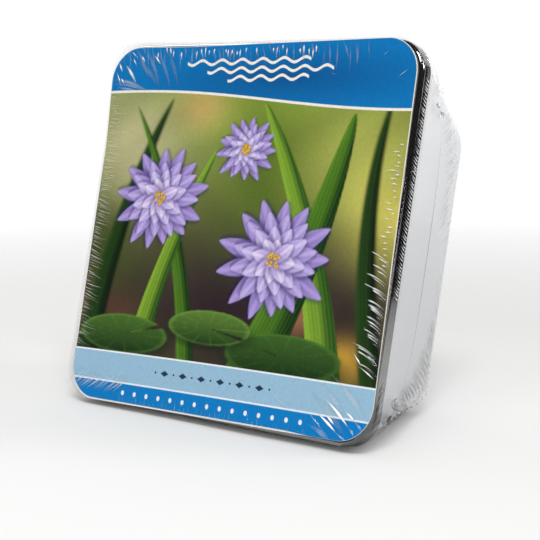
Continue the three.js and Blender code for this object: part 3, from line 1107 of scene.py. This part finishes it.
def gathers(f, side, sign):
    """Bunched film where the seam runs out, with fine folds that draw it towards the lid's corner. The
    folds carry painted glint and painted shade.
    """
    if side == RIGHT and sign < 0:
        swirl(f)
        crumpled_ear(f)
    else:
        for x, *rest in SEAM_END:
            crinkles(f, sign * x, *rest)
    for p in np.linspace(0, 1, 12):
        start, end = (sign * (70 + 3 * p), 22 + 2 * p), (sign * (70 + 22 * p), 9.4 + 3 * p)
        f.line(start, end, (0.5, 1.0), 0.2, (0.1, 0.5), (0.05, 0.3), bow=0.06 * sign)


def on_back(u, v, out):
    """Points of the film over the base of the tub, out proud of it."""
    return np.stack([u, EDGE_DEPTH + FILM_EDGE_RADIUS + out + 0 * u, v], -1)


def back_folds():
    """Folds that fan into the corners of the base, and a few round the vent hole. All carry painted glint
    and painted shade.
    """
    f = Folds(on_back)
    for corner in np.radians((45, 135, 225, 315)):
        middle = np.array([math.cos(corner), math.sin(corner)]) * 73.5
        for swing in np.arange(-1.0, 1.0, 0.14):
            way = np.array([math.cos(corner + swing), math.sin(corner + swing)])
            far = some(14, 17)
            near = far - some(5, 15)
            start, end = middle + near * way, middle + far * way
            f.line(start, end, (0.7, 1.2), 0.18, (0.3, 0.8), (0.1, 0.4), head=0.7)
    for turn in np.arange(0, 2 * math.pi, 0.36):
        way = np.array([math.cos(turn), math.sin(turn)])
        start, end = some(5.4, 6.2) * way, some(8, 15) * way
        f.line(start, end, (0.6, 1.0), 0.15, (0.3, 0.7), (0.1, 0.3), head=0.3)
    return f


def make_side_film():
    rows = edge_rows[-1:] + side_rows
    half, middle, depth = (np.array(column)[:, None] for column in zip(*rows))
    quarter, angle, along = film_columns
    x = middle * (2 * along - 1) - (half - middle) * (math.pi / 2 - angle)
    points = loft_points(film_columns, rows)
    outward = np.stack([np.cos(angle + quarter), np.zeros_like(angle), np.sin(angle + quarter)], -1)
    swell = side_swell(TOP, x, np.broadcast_to(depth, x.shape))
    under = np.round(quarter / (math.pi / 2)) == BOTTOM
    swell *= np.where(under, SWELL_UNDERNEATH, 1.0) * (depth < WALL_END[2])
    points = points + outward * swell[..., None]
    groups = []
    for side in (TOP, LEFT, BOTTOM, RIGHT):
        f = Folds(lambda x, depth, out, side=side: on_side(side, x, depth, out))
        skirt_streaks(f, side)
        seam_and_fans(f, side)
        gathers(f, side, -1)
        gathers(f, side, 1)
        if side == RIGHT:
            f.add(curve((31.0, 0.3), (37.0, 3.0), (29.0, 8.2)), 0.6, 0.25, 0.7)
        groups.append(f)
    groups.append(back_folds())
    add_film("film_sides", points.reshape(-1, 3), loft_faces(*points.shape[:2]), groups)


make_front_film()
make_side_film()

# ---- studio

# Where the floor starts and ends its fade into the white room, in metres from its middle.
FLOOR_FADE = (0.25, 0.85)

# The room's light: soft light on everything, and what mirrors see behind, above and elsewhere.
ROOM = {"soft": 0.67, "dark": 0.03, "rear_low": 1.3, "rear_high": 0.8, "patch": 5.0}
PATCH_WAY = (-0.595, 0.27, 0.757)

# Lamps: name, centre, width, height, radiance, what they aim at and the spread in degrees.
LAMPS = (
    ("key_softbox", (0.46, -0.50, 1.15), 0.50, 0.42, 11.5, (0, 0, 0.09), 180),
    ("rear_softbox", (-0.78, 0.36, 1.08), 0.5, 0.5, 1.4, (0, 0, 0.09), 180),
    ("front_softbox", (0.07, -1.05, 0.44), 0.24, 0.24, 6.0, (0, 0, 0.09), 180),
    ("right_softbox", (0.55, 0.30, 0.45), 0.25, 0.25, 0.4, (0.09, 0.0, 0.20), 50),
    ("edge_softbox", (0.55, 0.30, 0.45), 0.15, 0.15, 2.2, (0.09, 0.0, 0.30), 34),
)

# Cards that only mirrors see: name, centre, what they face, width, height and tone.
CARDS = (
    ("black_flag", (0.327, 0.29, 0.20), (0.0, -0.13, 0.20), 0.26, 0.40, 0.02),
    ("low_board", (0.32, -0.20, 0.085), (0.10, -0.06, 0.085), 0.42, 0.17, 0.85),
    ("low_shade", (0.20, -0.11, 0.003), (0.20, -0.11, 1.0), 0.24, 0.24, 0.45),
)


def put(thing, centre, aim, axis):
    """Puts a thing at centre, with that axis of its own towards aim."""
    thing.location = centre
    thing.rotation_mode = "QUATERNION"
    thing.rotation_quaternion = (Vector(aim) - Vector(centre)).to_track_quat(axis, "Y")


def add_lamp(name, centre, width, height, radiance, aim, spread):
    data = bpy.data.lights.new(name, "AREA")
    data.shape = "RECTANGLE"
    data.size, data.size_y = width, height
    data.energy = radiance * math.pi * width * height
    data.spread = math.radians(spread)
    put(add_thing(name, data), centre, aim, "-Z")


def card_material(name, tone):
    """Matt card of one tone, a little cloudy."""
    n = new_material(name)
    colour = n.blend(n.noise(2.0), (0.8 * tone, 0.8 * tone, 0.82 * tone, 1), (tone, tone, tone, 1))
    return n.finish(n.add("BsdfDiffuse", {"Color": colour}).outputs[0])


def add_card(name, centre, toward, width, height, tone):
    mesh = bpy.data.meshes.new(name)
    w, h = width / 2, height / 2
    mesh.from_pydata([(-w, -h, 0), (w, -h, 0), (w, h, 0), (-w, h, 0)], [], [(0, 1, 2, 3)])
    mesh.materials.append(card_material(name, tone))
    card = add_thing(name, mesh)
    put(card, centre, toward, "Z")
    card.visible_camera = False
    card.visible_diffuse = False
    card.visible_shadow = False
    card.visible_transmission = False


def floor_material():
    """Pale paper that fades into the white room further off."""
    n = new_material("paper_floor")
    place = n.add("TexCoord").outputs["Object"]
    reach = n.add("VectorMath", {0: place}, operation="LENGTH").outputs["Value"]
    colour = n.blend(n.noise(3.0), (0.80, 0.80, 0.79, 1), (0.82, 0.82, 0.815, 1))
    paper = n.add("BsdfDiffuse", {"Color": colour})
    clear = n.add("BsdfTransparent", {"Color": (1, 1, 1, 1)})
    share = n.spread(reach, *FLOOR_FADE, 0, 1)
    return n.finish(n.add("MixShader", {0: share, 1: paper.outputs[0], 2: clear.outputs[0]}).outputs[0])


def make_floor():
    mesh = bpy.data.meshes.new("floor")
    turn = np.linspace(0, 2 * math.pi, 64, endpoint=False)
    points = [(FLOOR_FADE[1] * math.cos(a), FLOOR_FADE[1] * math.sin(a), 0) for a in turn]
    mesh.from_pydata(points, [], [tuple(range(64))])
    mesh.materials.append(floor_material())
    add_thing("floor", mesh)


def make_world():
    """White for the camera and for soft light. In mirrors it is a dark room with a pale back."""
    n = Nodes(bpy.data.worlds.new("studio"), "OutputWorld")
    rays = n.add("LightPath").outputs
    way = n.add("TexCoord").outputs["Generated"]
    x, y, z = n.add("SeparateXYZ", {0: way}).outputs
    rear = n.spread(z, 0.02, 0.2, ROOM["rear_low"], ROOM["rear_high"])
    rear = n.math("MULTIPLY", rear, n.spread(x, 0.28, 0.46, 1, 0))
    rear = n.math("MULTIPLY", rear, n.spread(y, 0.3, 0.6, 0, 1))
    above = n.add("VectorMath", {0: way, 1: PATCH_WAY}, operation="DOT_PRODUCT").outputs["Value"]
    patch = n.spread(above, 0.955, 0.975, ROOM["dark"], ROOM["patch"])
    mirrored = n.math("MAXIMUM", rear, patch)
    strength = n.math("MULTIPLY_ADD", rays["Is Camera Ray"], 1 - ROOM["soft"], ROOM["soft"])
    gap = n.math("SUBTRACT", mirrored, strength)
    strength = n.math("MULTIPLY_ADD", rays["Is Glossy Ray"], gap, strength)
    shade = n.add("Background", {"Color": (1.0, 1.0, 1.0, 1), "Strength": strength})
    scene.world = n.finish(shade.outputs[0])


make_world()
make_floor()
for lamp in LAMPS:
    add_lamp(*lamp)
for card in CARDS:
    add_card(*card)

scene.view_settings.view_transform = "Standard"
